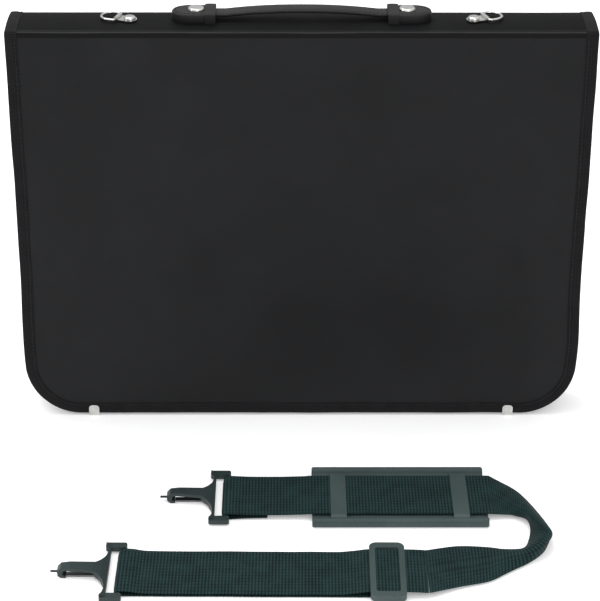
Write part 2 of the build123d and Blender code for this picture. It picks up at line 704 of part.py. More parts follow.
# ---- shoulder strap -----------------------------------------------------------------------
BAR_RADIUS = 1.2
BAR_Z = 2.9
BAR_CLEARANCE = 0.3
TURN_START_X = 157.0
LOWER_ORIGIN = (-40.0, -265.5)
HEM_LENGTH = 34.0
HALF_WEBBING = WEBBING_WIDTH / 2
LOWER_DIR = (cos(radians(LOWER_RUN_ANGLE)), sin(radians(LOWER_RUN_ANGLE)), 0)
wrap_face = BAR_RADIUS + BAR_CLEARANCE


def run_plane(origin_x, lower):
    """Vertical plane along a strap run: its X is along the run, its Y is up."""
    if lower:
        start = Vector(LOWER_ORIGIN[0], LOWER_ORIGIN[1], 0) + Vector(*LOWER_DIR) * origin_x
        return Plane(origin=start, x_dir=LOWER_DIR, z_dir=(LOWER_DIR[1], -LOWER_DIR[0], 0))
    return Plane(origin=(origin_x, UPPER_RUN_Y, 0), x_dir=(1, 0, 0), z_dir=(0, -1, 0))


# Top layer of each run, wrapped round its hook's bar. The upper run's sewn end lies under it.
with BuildPart() as webbing_upper:
    with BuildSketch(run_plane(UPPER_BAR_X, False)):
        with BuildLine():
            Polyline(
                (-wrap_face - WEBBING, UNDER_LAYER_LOW),
                (-wrap_face - WEBBING, WEBBING_LOW + WEBBING),
                (TURN_START_X - UPPER_BAR_X, WEBBING_LOW + WEBBING),
                (TURN_START_X - UPPER_BAR_X, WEBBING_LOW),
                (-wrap_face, WEBBING_LOW),
                (-wrap_face, UNDER_LAYER_LOW + WEBBING),
                (HEM_LENGTH, UNDER_LAYER_LOW + WEBBING),
                (HEM_LENGTH, UNDER_LAYER_LOW),
                close=True,
            )
        make_face()
    extrude(amount=HALF_WEBBING, both=True)
save(webbing_upper, "webbing_upper")

LOWER_RUN_LENGTH = 240.0
RETURN_LENGTH = 206.0
with BuildPart() as webbing_lower:
    with BuildSketch(run_plane(LOWER_BAR_X, True)):
        with BuildLine():
            Polyline(
                (-wrap_face - WEBBING, UNDER_LAYER_LOW + WEBBING),
                (-wrap_face - WEBBING, WEBBING_LOW + WEBBING),
                (LOWER_RUN_LENGTH, WEBBING_LOW + WEBBING),
                (LOWER_RUN_LENGTH, WEBBING_LOW),
                (-wrap_face, WEBBING_LOW),
                (-wrap_face, UNDER_LAYER_LOW + WEBBING),
                close=True,
            )
        make_face()
    extrude(amount=HALF_WEBBING, both=True)
save(webbing_lower, "webbing_lower")

with BuildPart() as webbing_return:
    with BuildSketch(run_plane(LOWER_BAR_X, True)):
        with Locations(((RETURN_LENGTH - wrap_face - WEBBING) / 2, UNDER_LAYER_LOW + WEBBING / 2)):
            Rectangle(RETURN_LENGTH + wrap_face + WEBBING, WEBBING)
    extrude(amount=HALF_WEBBING, both=True)
save(webbing_return, "webbing_return")

# The turn between the two runs, as a closed band that rises to a low hump.
TURN_TOP = 17.0
lower_end = Vector(LOWER_ORIGIN[0], LOWER_ORIGIN[1], 0) + Vector(*LOWER_DIR) * (
    LOWER_BAR_X + LOWER_RUN_LENGTH
)
lower_side = Vector(-LOWER_DIR[1], LOWER_DIR[0], 0) * HALF_WEBBING
with BuildPart() as webbing_turn:
    with BuildSketch(Plane.XY.offset(UNDER_LAYER_LOW)):
        with BuildLine():
            Polyline(
                (TURN_START_X, UPPER_RUN_Y - HALF_WEBBING),
                (TURN_START_X, UPPER_RUN_Y + HALF_WEBBING),
                (169, -146),
                (181, -163),
                (194, -192),
                (200, -208),
                (197, -222),
                (186, -240),
                (168, -262),
                (148, -277),
                (122, -288),
                tuple(lower_end - lower_side)[:2],
                tuple(lower_end + lower_side)[:2],
                (123, -232),
                (150, -230),
                (178, -233),
                (183.5, -206),
                (182, -190),
                close=True,
            )
        make_face()
    extrude(amount=TURN_TOP)
save(webbing_turn, "webbing_turn")

# ---- strap hooks --------------------------------------------------------------------------
FRAME_HALF = 37.0
ARM_INNER = 30.0
HOOK_BACK_LOW = 7.3
HOOK_TOP = 10.2
GATE_START = 17.0
GATE_LENGTH = 25.5
GATE_MID_Z = 1.15
GATE_THICKNESS = 1.5


def hook_planes(lower):
    """Side and plan planes of a hook, both with X from its bar towards its tip."""
    if lower:
        origin = Vector(LOWER_ORIGIN[0], LOWER_ORIGIN[1], 0) + Vector(*LOWER_DIR) * LOWER_BAR_X
        towards_tip = (-LOWER_DIR[0], -LOWER_DIR[1], 0)
    else:
        origin = Vector(UPPER_BAR_X, UPPER_RUN_Y, 0)
        towards_tip = (-1, 0, 0)
    side = Plane(origin=origin, x_dir=towards_tip, z_dir=(towards_tip[1], -towards_tip[0], 0))
    plan = Plane(origin=origin, x_dir=towards_tip, z_dir=(0, 0, 1))
    return side, plan


for lower, hook_name in ((False, "upper"), (True, "lower")):
    side_plane, plan_plane = hook_planes(lower)

    with BuildPart() as hook:
        with BuildSketch(side_plane):
            with BuildLine():
                Polyline(
                    (10, 1.2),
                    (10, 6.0),
                    (15, 7.6),
                    (22, 9.0),
                    (40, HOOK_TOP),
                    (47, HOOK_TOP - 0.6),
                    (50, 6.5),
                    (49.5, 2.0),
                    (47, 0.4),
                    (43.2, 0.4),
                    (43.2, 1.9),
                    (45.5, 2.6),
                    (46.3, 5.2),
                    (44, HOOK_BACK_LOW + 0.1),
                    (40, HOOK_BACK_LOW),
                    (23, 6.5),
                    (20.5, 4.6),
                    (19.8, 2.6),
                    (15, 2.6),
                    (15, 1.2),
                    close=True,
                )
            make_face()
        extrude(amount=FRAME_HALF, both=True)
        with BuildSketch(plan_plane):
            with BuildLine():
                Polyline((51, 3.8), (51, -3.8), (21, -6.0))
                ThreePointArc((21, -6.0), (16.2, -11.0), (14.6, -FRAME_HALF + 2))
                Polyline((14.6, -FRAME_HALF + 2), (9, -FRAME_HALF + 2), (9, FRAME_HALF - 2))
                Line((9, FRAME_HALF - 2), (14.6, FRAME_HALF - 2))
                ThreePointArc((14.6, FRAME_HALF - 2), (16.2, 11.0), (21, 6.0))
                Line((21, 6.0), (51, 3.8))
            make_face()
        extrude(amount=HOOK_TOP + 1, mode=Mode.INTERSECT)
        with BuildSketch(plan_plane.offset(1.6)):
            for arm in (-1, 1):
                with Locations((6.2, arm * (ARM_INNER + FRAME_HALF) / 2)):
                    RectangleRounded(17.0, FRAME_HALF - ARM_INNER, 2.2)
        extrude(amount=4.0)
        with BuildSketch(side_plane):
            with Locations((0, BAR_Z)):
                Circle(BAR_RADIUS)
        extrude(amount=ARM_INNER + 1, both=True)
        with BuildSketch(plan_plane.offset(3.4)):
            with Locations((52.4, 0)):
                RectangleRounded(6.4, 1.4, 0.6)
        extrude(amount=1.3)
    save(hook, f"hook_{hook_name}")

    with BuildPart() as gate:
        with BuildSketch(side_plane):
            with Locations((GATE_START + GATE_LENGTH / 2, GATE_MID_Z)):
                RectangleRounded(GATE_LENGTH + 1.0, GATE_THICKNESS, 0.6)
        extrude(amount=2.6, both=True)
    save(gate, f"hook_gate_{hook_name}")

# ---- strap adjuster -----------------------------------------------------------------------
GLIDE_X = 107.0
GLIDE_HALF_LENGTH = 14.0
GLIDE_HALF_WIDTH = 36.0
GLIDE_BAR = 4.6
GLIDE_LOW = 2.2
GLIDE_TOP = 7.6
with BuildPart() as strap_adjuster:
    origin = Vector(LOWER_ORIGIN[0], LOWER_ORIGIN[1], 0) + Vector(*LOWER_DIR) * GLIDE_X
    plan = Plane(origin=origin, x_dir=LOWER_DIR, z_dir=(0, 0, 1))
    with BuildSketch(plan.offset(GLIDE_LOW)):
        RectangleRounded(2 * GLIDE_HALF_LENGTH, 2 * GLIDE_HALF_WIDTH, 6)
        RectangleRounded(
            2 * (GLIDE_HALF_LENGTH - GLIDE_BAR), 2 * (HALF_WEBBING + 1), 2, mode=Mode.SUBTRACT
        )
    extrude(amount=GLIDE_TOP - GLIDE_LOW)
    with BuildSketch(plan):
        Rectangle(4 * GLIDE_HALF_LENGTH, 2 * (HALF_WEBBING + 1))
    extrude(amount=WEBBING_LOW + WEBBING + 0.3, mode=Mode.SUBTRACT)
    with BuildSketch(plan.offset(GLIDE_LOW)):
        Rectangle(5, 2 * (HALF_WEBBING + 1.5))
    extrude(amount=WEBBING_LOW - 0.3 - GLIDE_LOW)
save(strap_adjuster, "strap_adjuster")

# ---- shoulder pad -------------------------------------------------------------------------
PAD_BASE_TOP = WEBBING_LOW - 0.3
PAD_RAIL_TOP = 8.0
PAD_RAIL = 5.5
PAD_LOOP_LOW = WEBBING_LOW + WEBBING + 0.3
PAD_LOOP_WIDTH = 13.0
PAD_LOOP_OFFSET = 50.2
pad_middle = PAD_START_X + PAD_LENGTH / 2
with BuildPart() as shoulder_pad:
    with BuildSketch(Plane.XY.offset(UNDER_LAYER_LOW)):
        with Locations((pad_middle, UPPER_RUN_Y)):
            RectangleRounded(PAD_LENGTH, PAD_WIDTH, 3)
    extrude(amount=PAD_BASE_TOP - UNDER_LAYER_LOW)
    with BuildSketch(Plane.XY.offset(PAD_BASE_TOP)):
        for side in (-1, 1):
            with Locations((pad_middle, UPPER_RUN_Y + side * (PAD_WIDTH - PAD_RAIL) / 2)):
                Rectangle(PAD_LENGTH - 2, PAD_RAIL)
    extrude(amount=PAD_RAIL_TOP - PAD_BASE_TOP)
    fillet(shoulder_pad.edges().filter_by(Axis.X).group_by(Axis.Z)[-1], 1.5)
save(shoulder_pad, "shoulder_pad")

with BuildPart() as pad_loops:
    for step in (-1, 1):
        with BuildSketch(Plane.XY.offset(PAD_BASE_TOP)):
            with Locations((pad_middle + step * PAD_LOOP_OFFSET, UPPER_RUN_Y)):
                Rectangle(PAD_LOOP_WIDTH, PAD_WIDTH - 2 * PAD_RAIL - 0.02)
        extrude(amount=PAD_LOOP_LOW + 1.2 - PAD_BASE_TOP)
    with BuildSketch(Plane.XY.offset(PAD_BASE_TOP - 1)):
        with Locations((pad_middle, UPPER_RUN_Y)):
            Rectangle(PAD_LENGTH, WEBBING_WIDTH + 2)
    extrude(amount=PAD_LOOP_LOW - PAD_BASE_TOP + 1, mode=Mode.SUBTRACT)
save(pad_loops, "pad_loops")
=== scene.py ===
"""Portfolio case standing on its feet, with its shoulder strap laid in front."""
import json
from math import atan2, cos, pi, radians, sin

import bpy
import numpy as np
from mathutils import Euler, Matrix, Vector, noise


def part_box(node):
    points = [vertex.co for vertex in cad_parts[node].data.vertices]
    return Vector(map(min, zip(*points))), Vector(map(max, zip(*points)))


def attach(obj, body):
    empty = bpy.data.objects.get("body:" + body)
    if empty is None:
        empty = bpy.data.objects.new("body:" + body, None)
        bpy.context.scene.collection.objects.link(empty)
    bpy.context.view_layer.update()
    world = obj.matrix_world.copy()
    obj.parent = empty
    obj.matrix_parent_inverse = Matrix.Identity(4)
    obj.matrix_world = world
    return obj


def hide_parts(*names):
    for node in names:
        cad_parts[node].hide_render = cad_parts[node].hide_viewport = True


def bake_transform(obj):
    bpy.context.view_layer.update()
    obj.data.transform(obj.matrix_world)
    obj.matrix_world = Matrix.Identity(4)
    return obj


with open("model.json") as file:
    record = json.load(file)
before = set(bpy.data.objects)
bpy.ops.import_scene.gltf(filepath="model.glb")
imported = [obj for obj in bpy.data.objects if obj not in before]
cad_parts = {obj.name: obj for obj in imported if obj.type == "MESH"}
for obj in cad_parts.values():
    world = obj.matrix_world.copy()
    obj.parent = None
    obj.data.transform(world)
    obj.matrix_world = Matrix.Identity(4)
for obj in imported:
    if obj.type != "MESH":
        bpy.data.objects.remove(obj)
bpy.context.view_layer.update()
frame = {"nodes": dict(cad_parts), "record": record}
nodes = frame["nodes"]
MM = 0.001

# ---- camera and studio ----------------------------------------------------------------------
camera_data = bpy.data.cameras.new("camera")
camera_data.lens = 124.3
camera_data.sensor_width = 36.0
camera_data.clip_end = 50
camera = bpy.data.objects.new("camera", camera_data)
bpy.context.collection.objects.link(camera)
camera.location = (-0.0087, -1.5946, 0.9669)
camera.rotation_mode = "QUATERNION"
aim = Euler((radians(90 - 28.47), 0, radians(-0.28)), "XYZ").to_quaternion()
camera.rotation_quaternion = aim @ Euler((0, 0, radians(0.13)), "XYZ").to_quaternion()
bpy.context.scene.camera = camera
bpy.context.scene.view_settings.view_transform = "Standard"


def light(name, place, aim, size, power):
    """A soft square white lamp at place, turned to aim."""
    data = bpy.data.lights.new(name, "AREA")
    data.size = size
    data.energy = power
    lamp = bpy.data.objects.new(name, data)
    lamp.location = place
    away = np.array(place) - np.array(aim)
    tip = atan2(np.hypot(away[0], away[1]), away[2])
    lamp.rotation_euler = (tip, 0, atan2(away[0], -away[1]))
    bpy.context.collection.objects.link(lamp)


light("lamp_top", (-0.5, 0.4, 2.3), (0, 0, 0.2), 1.8, 28)
light("lamp_front", (0.9, -2.4, 1.8), (0, 0, 0.15), 1.6, 18)
light("lamp_left", (-2.4, -0.8, 1.4), (0, 0, 0.2), 1.2, 10)
# The sky is white overhead and greyer towards the horizon, so that metal has something to reflect.
world = bpy.data.worlds.new("studio")
world.use_nodes = True
sky = world.node_tree
direction = sky.nodes.new("ShaderNodeTexCoord")
split = sky.nodes.new("ShaderNodeSeparateXYZ")
fall = sky.nodes.new("ShaderNodeValToRGB")
fall.color_ramp.elements[0].position = 0.05
fall.color_ramp.elements[0].color = (0.42, 0.42, 0.43, 1)
fall.color_ramp.elements[1].position = 0.75
fall.color_ramp.elements[1].color = (1, 1, 1, 1)
sky.links.new(direction.outputs["Generated"], split.inputs[0])
sky.links.new(split.outputs["Z"], fall.inputs["Fac"])
sky.links.new(fall.outputs["Color"], sky.nodes["Background"].inputs["Color"])
sky.nodes["Background"].inputs["Strength"].default_value = 1.05
bpy.context.scene.world = world


# ---- finishes -------------------------------------------------------------------------------
class Finish:
    """A node material built up from noise, cells and woven waves, all in metres."""

    def __init__(self, name, metal=0.0, gloss=0.2, sheen=0.0):
        self.made = bpy.data.materials.new(name)
        self.made.use_nodes = True
        self.tree = self.made.node_tree
        self.shader = self.tree.nodes["Principled BSDF"]
        self.shader.inputs["Metallic"].default_value = metal
        self.shader.inputs["Specular IOR Level"].default_value = gloss
        self.shader.inputs["Sheen Weight"].default_value = sheen
        self.shader.inputs["Sheen Roughness"].default_value = 0.4
        self.place = self.tree.nodes.new("ShaderNodeTexCoord")
        self.last_bump = None

    def node(self, kind, links=None, **values):
        made = self.tree.nodes.new(kind)
        for key, value in values.items():
            if hasattr(made, key):
                setattr(made, key, value)
            else:
                made.inputs[key.replace("_", " ")].default_value = value
        for key, source in (links or {}).items():
            self.tree.links.new(source, made.inputs[key])
        return made

    def where(self, stretch=(1, 1, 1)):
        links = {"Vector": self.place.outputs["Object"]}
        return self.node("ShaderNodeMapping", links, Scale=stretch).outputs[0]

    def cloud(self, scale, detail=3.0, stretch=(1, 1, 1)):
        """Soft noise with scale blobs to the metre."""
        links = {"Vector": self.where(stretch)}
        return self.node("ShaderNodeTexNoise", links, Scale=scale, Detail=detail).outputs["Fac"]

    def cells(self, scale):
        """Pebbled cells, scale of them to the metre."""
        links = {"Vector": self.where()}
        return self.node("ShaderNodeTexVoronoi", links, Scale=scale).outputs["Distance"]

    def maths(self, operation, first, second=None):
        made = self.node("ShaderNodeMath", operation=operation)
        for slot, value in enumerate((first, second)):
            if isinstance(value, (int, float)):
                made.inputs[slot].default_value = value
            elif value is not None:
                self.tree.links.new(value, made.inputs[slot])
        return made.outputs[0]

    def across(self, axis):
        """The U (axis 0) or V (axis 1) of the surface."""
        return self.node("ShaderNodeSeparateXYZ", {"Vector": self.place.outputs["UV"]}).outputs[axis]

    def band(self, axis, centre, half):
        """A peak of 1 along the line U (axis 0) or V (axis 1) = centre, falling to 0 at half to each side."""
        off = self.maths("ABSOLUTE", self.maths("SUBTRACT", self.across(axis), centre))
        return self.maths("MAXIMUM", self.maths("SUBTRACT", 1.0, self.maths("MULTIPLY", off, 1 / half)), 0.0)

    def ribs(self, axis, pitch):
        """A wave from 0 to 1 across U (axis 0) or V (axis 1), one crest every pitch metres."""
        turned = self.maths("MULTIPLY", self.across(axis), 2 * pi / pitch)
        return self.maths("MULTIPLY_ADD", self.maths("SINE", turned), 0.5)

    def colour(self, source, dark, light_tone, low=0.3, high=0.7):
        ramp = self.node("ShaderNodeValToRGB", {"Fac": source})
        ramp.color_ramp.elements[0].position = low
        ramp.color_ramp.elements[0].color = (*dark, 1)
        ramp.color_ramp.elements[1].position = high
        ramp.color_ramp.elements[1].color = (*light_tone, 1)
        self.tree.links.new(ramp.outputs["Color"], self.shader.inputs["Base Color"])

    def rough(self, source, low, high):
        spread = self.node("ShaderNodeMapRange", {"Value": source}, To_Min=low, To_Max=high)
        self.tree.links.new(spread.outputs[0], self.shader.inputs["Roughness"])

    def bump(self, source, height, strength=1.0):
        made = self.node("ShaderNodeBump", {"Height": source}, Strength=strength, Distance=height * MM)
        if self.last_bump is not None:
            self.tree.links.new(self.last_bump.outputs[0], made.inputs["Normal"])
        self.tree.links.new(made.outputs[0], self.shader.inputs["Normal"])
        self.last_bump = made


def grained(name, dark, light_tone, rough=(0.5, 0.65), grain=900, depth=0.12, gloss=0.2):
    """Leather-like PVC or moulded rubber: fine cells under a slow change of tone."""
    made = Finish(name, gloss=gloss)
    made.colour(made.cloud(14, 4), dark, light_tone)
    made.rough(made.cloud(60, 4), *rough)
    made.bump(made.cells(grain), depth, 0.7)
    made.bump(made.cloud(grain * 2.6, 2), depth * 0.5, 0.5)
    made.bump(made.cloud(22, 2), depth * 2.5, 0.35)
    return made.made


def crease_pvc(name, body, worn):
    """Folded PVC with a painted highlight: it is paler along one line of the fold, where its edge would catch
    the light.
    """
    made = Finish(name, gloss=0.08)
    # Painted highlight: a paler line along the fold, mottled by noise; its tone is the argument worn.
    line = made.band(0, CREASE_LINE, CREASE_LINE_HALF)
    painted_highlight = made.maths("MULTIPLY", line, made.maths("ADD", made.cloud(35, 4), 0.45))
    made.colour(painted_highlight, body, worn, 0.05, 0.9)
    made.rough(made.cloud(60, 4), 0.5, 0.62)
    made.bump(made.cells(1100), 0.07, 0.7)
    return made.made


def woven(name, dark, light_tone, rib=0.0012, line=0.0024, depth=0.16, sheen=0.1, gloss=0.15):
    """Woven tape: ribs across it, warp lines along it and loose fibres."""
    made = Finish(name, gloss=gloss, sheen=sheen)
    across = made.ribs(0, rib)
    along = made.ribs(1, line)
    weave = made.maths("MULTIPLY", across, made.maths("MULTIPLY_ADD", along, 0.7))
    faded = made.maths("MULTIPLY", made.cloud(90, 4), 0.55)
    worn = made.maths("ADD", made.maths("MULTIPLY", weave, 0.6), faded)
    made.colour(worn, dark, light_tone, 0.25, 0.85)
    made.rough(made.cloud(400, 3), 0.72, 0.95)
    made.bump(weave, depth, 0.9)
    made.bump(made.cloud(2600, 2), depth * 0.5, 0.5)
    return made.made


def metal(name, dark, light_tone, rough=(0.12, 0.3)):
    """Plated metal with fine scratches and slightly dulled patches."""
    made = Finish(name, metal=1.0, gloss=0.5)
    made.colour(made.cloud(120, 4), dark, light_tone)
    made.rough(made.cloud(260, 5), *rough)
    made.bump(made.cloud(900, 3, (1, 6, 1)), 0.02, 0.4)
    made.bump(made.cloud(70, 2), 0.06, 0.3)
    return made.made


def film(name, tint, roughness, through):
    """Clear plastic sheet with slow ripples and a few dull patches."""
    made = Finish(name, gloss=0.5)
    made.colour(made.cloud(30, 3), tint, tuple(min(1, c * 1.15) for c in tint))
    made.rough(made.cloud(45, 4), roughness * 0.6, roughness * 1.4)
    made.shader.inputs["Alpha"].default_value = through
    made.bump(made.cloud(18, 2), 0.5, 0.5)
    return made.made


CREASE_LINE = 0.0043  # metres along the crease's arc, from the spine, to its painted highlight line
CREASE_LINE_HALF = 0.0011
PVC = grained("cover_pvc", (0.0075, 0.0078, 0.0085), (0.0105, 0.011, 0.012), (0.52, 0.66), 1100, 0.07, 0.14)
# The spine's PVC is the cover PVC painted darker: painted shade against the light its upward face catches.
SPINE = grained("spine_pvc", (0.0032, 0.0034, 0.0038), (0.0052, 0.0055, 0.006),
                (0.55, 0.68), 1100, 0.08, 0.055)
# The crease's body is painted about as dark as the spine's PVC, which is painted shade; its second tone is the
# painted highlight along the fold.
CREASE = crease_pvc("crease_pvc", (0.0052, 0.0054, 0.0058), (0.030, 0.030, 0.031))
TAPE = woven("binding_tape", (0.0042, 0.0042, 0.0047), (0.0135, 0.0135, 0.015),
             0.0012, 0.0022, 0.14, 0.03, 0.12)
LEATHER = grained("handle_leather", (0.0062, 0.0062, 0.0068), (0.0125, 0.0125, 0.0135),
                  (0.42, 0.56), 750, 0.14, 0.22)
EDGE_PAINT = grained("handle_edge", (0.0075, 0.0075, 0.008), (0.0145, 0.0145, 0.0155),
                     (0.5, 0.65), 500, 0.1, 0.2)
THREAD = woven("thread", (0.010, 0.010, 0.011), (0.03, 0.03, 0.031), 0.0006, 0.0006, 0.08)
WEBBING = woven("webbing", (0.0042, 0.0110, 0.0114), (0.0175, 0.041, 0.042), 0.0026, 0.0040, 0.3, 0.04, 0.1)
PLASTIC = grained("strap_plastic", (0.036, 0.054, 0.054), (0.057, 0.080, 0.079),
                  (0.42, 0.55), 1300, 0.05, 0.3)
HOOK_PLASTIC = grained("hook_plastic", (0.017, 0.027, 0.027), (0.028, 0.042, 0.041),
                       (0.4, 0.52), 1300, 0.05, 0.3)
PAD = grained("pad_rubber", (0.033, 0.050, 0.050), (0.050, 0.072, 0.071), (0.5, 0.62), 1500, 0.06, 0.25)
NICKEL = metal("nickel", (0.48, 0.48, 0.47), (0.70, 0.69, 0.67))
RING_STEEL = metal("ring_steel", (0.5, 0.5, 0.5), (0.66, 0.66, 0.65), (0.18, 0.34))
SPRING_STEEL = metal("spring_steel", (0.3, 0.3, 0.31), (0.42, 0.42, 0.42), (0.3, 0.5))
DARK_METAL = metal("zip_metal", (0.16, 0.16, 0.165), (0.27, 0.27, 0.275), (0.25, 0.45))
TEETH = grained("zip_teeth", (0.008, 0.008, 0.009), (0.018, 0.018, 0.019), (0.3, 0.45), 900, 0.05, 0.4)
LINING = grained("lining_fabric", (0.009, 0.009, 0.010), (0.018, 0.018, 0.019),
                 (0.8, 0.95), 1600, 0.16, 0.12)
CARD = grained("board", (0.05, 0.045, 0.038), (0.085, 0.078, 0.066), (0.85, 0.95), 700, 0.08, 0.1)
FOAM = grained("foam", (0.02, 0.02, 0.022), (0.04, 0.04, 0.042), (0.9, 1.0), 1200, 0.3, 0.05)
PAPER = grained("insert_paper", (0.012, 0.012, 0.013), (0.02, 0.02, 0.021), (0.8, 0.92), 1800, 0.05, 0.1)
SLEEVE = film("sleeve_film", (0.75, 0.77, 0.78), 0.2, 0.28)
POCKET = film("pocket_film", (0.03, 0.03, 0.032), 0.35, 0.85)

KEPT = {
    "cover_pvc": PVC, "board": CARD, "lining_fabric": LINING, "edge_binding": TAPE, "zip_tape": LINING,
    "zip_teeth": TEETH, "nickel": NICKEL, "ring_steel": RING_STEEL, "spring_steel": SPRING_STEEL,
    "pocket_film": POCKET, "foam": FOAM, "handle_leather": LEATHER, "zip_metal": DARK_METAL,
    "sleeve_film": SLEEVE, "insert_paper": PAPER, "webbing": WEBBING, "strap_plastic": PLASTIC,
    "gate_metal": DARK_METAL, "pad_rubber": PAD,
}
for part in frame["record"]["subparts"]:
    kept = nodes[part["node"]]
    finish = HOOK_PLASTIC if part["node"] in ("hook_upper", "hook_lower") else KEPT[part["material_slot"]]
    kept.data.materials.clear()
    kept.data.materials.append(finish)


# ---- mesh building --------------------------------------------------------------------------
def wander(x, z, size, seed):
    """A slow smooth unevenness, up to about size."""
    return size * noise.noise((x * 0.017, z * 0.017, seed))


def lengths(points):
    """Distance along a row of points, in metres."""
    steps = np.linalg.norm(np.diff(np.asarray(points, float), axis=0), axis=1)
    return np.concatenate([[0], np.cumsum(steps)]) * MM


def quads(count, width, start, us, vs, wrap=False, flip=False):
    """The faces of a grid of count rows, with the UV of each corner."""
    faces, corners = [], []
    for i in range(count - 1):
        for j in range(width if wrap else width - 1):
            k = (j + 1) % width
            here, ahead = start + i * width, start + (i + 1) * width
            face = [here + j, ahead + j, ahead + k, here + k]
            corner = [(us[i], vs[j]), (us[i + 1], vs[j]), (us[i + 1], vs[j + 1]), (us[i], vs[j + 1])]
            faces.append(face[::-1] if flip else face)
            corners.append(corner[::-1] if flip else corner)
    return faces, corners


def piece(name, points, faces, corners, finish, slot, smooth=40):
    """A mesh object from points in millimetres."""
    data = bpy.data.meshes.new(name)
    data.from_pydata((np.asarray(points, float) * MM).tolist(), [], faces)
    layer = data.uv_layers.new(name="UVMap")
    layer.data.foreach_set("uv", [value for corner in corners for uv in corner for value in uv])
    data.materials.append(finish)
    data.polygons.foreach_set("use_smooth", [True] * len(data.polygons))
    data.set_sharp_from_angle(angle=radians(smooth))
    made = bpy.data.objects.new(name, data)
    bpy.context.collection.objects.link(made)
    return made


def slab_parts(rows, thickness, start=0):
    """Points, faces and UVs of a closed sheet: a grid of surface points, thickened behind it."""
    top = np.asarray(rows, float)
    count, width = top.shape[:2]
    normal = np.cross(np.gradient(top, axis=0), np.gradient(top, axis=1))
    normal /= np.linalg.norm(normal, axis=2, keepdims=True) + 1e-9
    thick = np.broadcast_to(np.asarray(thickness, float), (count, width))[..., None]
    under = top - normal * thick
    us, vs = lengths(top[:, width // 2]), lengths(top[count // 2])
    faces, corners = quads(count, width, start, us, vs)
    more = quads(count, width, start + count * width, us, vs, flip=True)
    faces += more[0]
    corners += more[1]
    ring = [(i, 0) for i in range(count)] + [(count - 1, j) for j in range(1, width)]
    ring += [(i, width - 1) for i in range(count - 2, -1, -1)] + [(0, j) for j in range(width - 2, 0, -1)]
    for (i, j), (k, m) in zip(ring, ring[1:] + ring[:1]):
        a, b = start + i * width + j, start + k * width + m
        faces.append([a, a + count * width, b + count * width, b])
        corners.append([(us[i], vs[j]), (us[i], vs[j] - 0.001), (us[k], vs[m] - 0.001), (us[k], vs[m])])
    return np.concatenate([top.reshape(-1, 3), under.reshape(-1, 3)]), faces, corners


def slab(name, rows, thickness, finish, slot):
    return piece(name, *slab_parts(rows, thickness), finish, slot)


def loft_parts(sections, start=0, caps=True):
    """Points, faces and UVs of a tube through closed sections with the same number of points."""
    rings = np.asarray(sections, float)
    count, width = rings.shape[:2]
    us = lengths(rings.mean(axis=1))
    vs = lengths(np.concatenate([rings[count // 2], rings[count // 2][:1]]))
    faces, corners = quads(count, width, start, us, vs, wrap=True)
    if caps:
        for row, order in ((0, range(width)), (count - 1, range(width - 1, -1, -1))):
            faces.append([start + row * width + j for j in order])
            corners.append([(us[row], vs[j]) for j in order])
    return rings.reshape(-1, 3), faces, corners


def gather(parts):
    """Several sets of points, faces and UVs as one."""
    points, faces, corners, start = [], [], [], 0
    for some, made, uvs in parts:
        points.append(some)
        faces += [[v + start for v in face] for face in made]
        corners += uvs
        start += len(some)
    return np.concatenate(points), faces, corners


def stitch(centre, along, up, length=2.6, radius=0.32):
    """One stitch of thread lying on a surface."""
    along, up = np.array(along, float), np.array(up, float)
    along /= np.linalg.norm(along)
    side = np.cross(along, up)
    rings = []
    for place, size, dip in ((-0.5, 0.5, -0.5), (-0.3, 1, 0.15), (0.3, 1, 0.15), (0.5, 0.5, -0.5)):
        middle = np.array(centre) + along * length * place + up * radius * dip
        rings.append([middle + radius * size * (side * cos(a) + up * sin(a))
                      for a in np.linspace(0, 2 * pi, 6, False)])
    return loft_parts(rings)


def smooth_line(points, steps):
    """Points on a smooth curve through points, steps to a span."""
    p = np.asarray(points, float)
    p = np.concatenate([[2 * p[0] - p[1]], p, [2 * p[-1] - p[-2]]])
    line = []
    for i in range(1, len(p) - 2):
        for t in np.linspace(0, 1, steps, False):
            a, b, c, d = p[i - 1], p[i], p[i + 1], p[i + 2]
            square, cube = 2 * a - 5 * b + 4 * c - d, 3 * b - a - 3 * c + d
            line.append(0.5 * (2 * b + (c - a) * t + square * t**2 + cube * t**3))
    return np.array(line + [p[-2]])


# ---- covers ---------------------------------------------------------------------------------
cover_low, cover_high = (np.array(v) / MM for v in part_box("front_edge_binding"))
HALF = cover_high[0]
LOW = cover_low[2]
TOP = cover_high[2]
CORNER = 47.0  # radius of the lower corners, on the outside of the binding
DEPTH = (np.array(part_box("back_cover_skin")[1]) / MM)[1]
STITCH_PITCH = 3.6
ZIP_PITCH = 2.6
CREASE_R = 5.0
SHARP = 0.62  # below 1 squares the crease's corner
SPINE_HALF = 19  # from the middle of the spine to the start of a crease
SPAN = 238.8  # half length of the spine and its creases


def flare(z):
    """How far the sides stand out just above the rounded corners."""
    return 1.6 * np.exp(-(((z - 72) / 42) ** 2))


def outline(inset, top=TOP, step=4.0, loose=1.0):
    """Points (x, z) and outward normals down the left, along the foot and up the right, inset from the edge."""
    places = []
    for z in np.arange(top, LOW + CORNER, -step):
        places.append((-HALF, z, -1, 0))
    for a in np.linspace(pi, 1.5 * pi, 24):
        places.append((-HALF + CORNER + CORNER * cos(a), LOW + CORNER + CORNER * sin(a), cos(a), sin(a)))
    for x in np.arange(-HALF + CORNER + step, HALF - CORNER, step):
        places.append((x, LOW, 0, -1))
    for a in np.linspace(1.5 * pi, 2 * pi, 24):
        places.append((HALF - CORNER + CORNER * cos(a), LOW + CORNER + CORNER * sin(a), cos(a), sin(a)))
    for z in np.arange(LOW + CORNER + step, top, step):
        places.append((HALF, z, 1, 0))
    places.append((HALF, top, 1, 0))
    made = []
    for x, z, nx, nz in places:
        fade = min(1.0, max(0.0, (top - z) / 30))
        shift = loose * (fade * wander(x * 1.6 + 7, z * 1.6, 0.5, 3.1) + abs(nx) * flare(z)) - inset
        made.append((x + nx * shift, z + nz * shift, nx, nz))
    return made


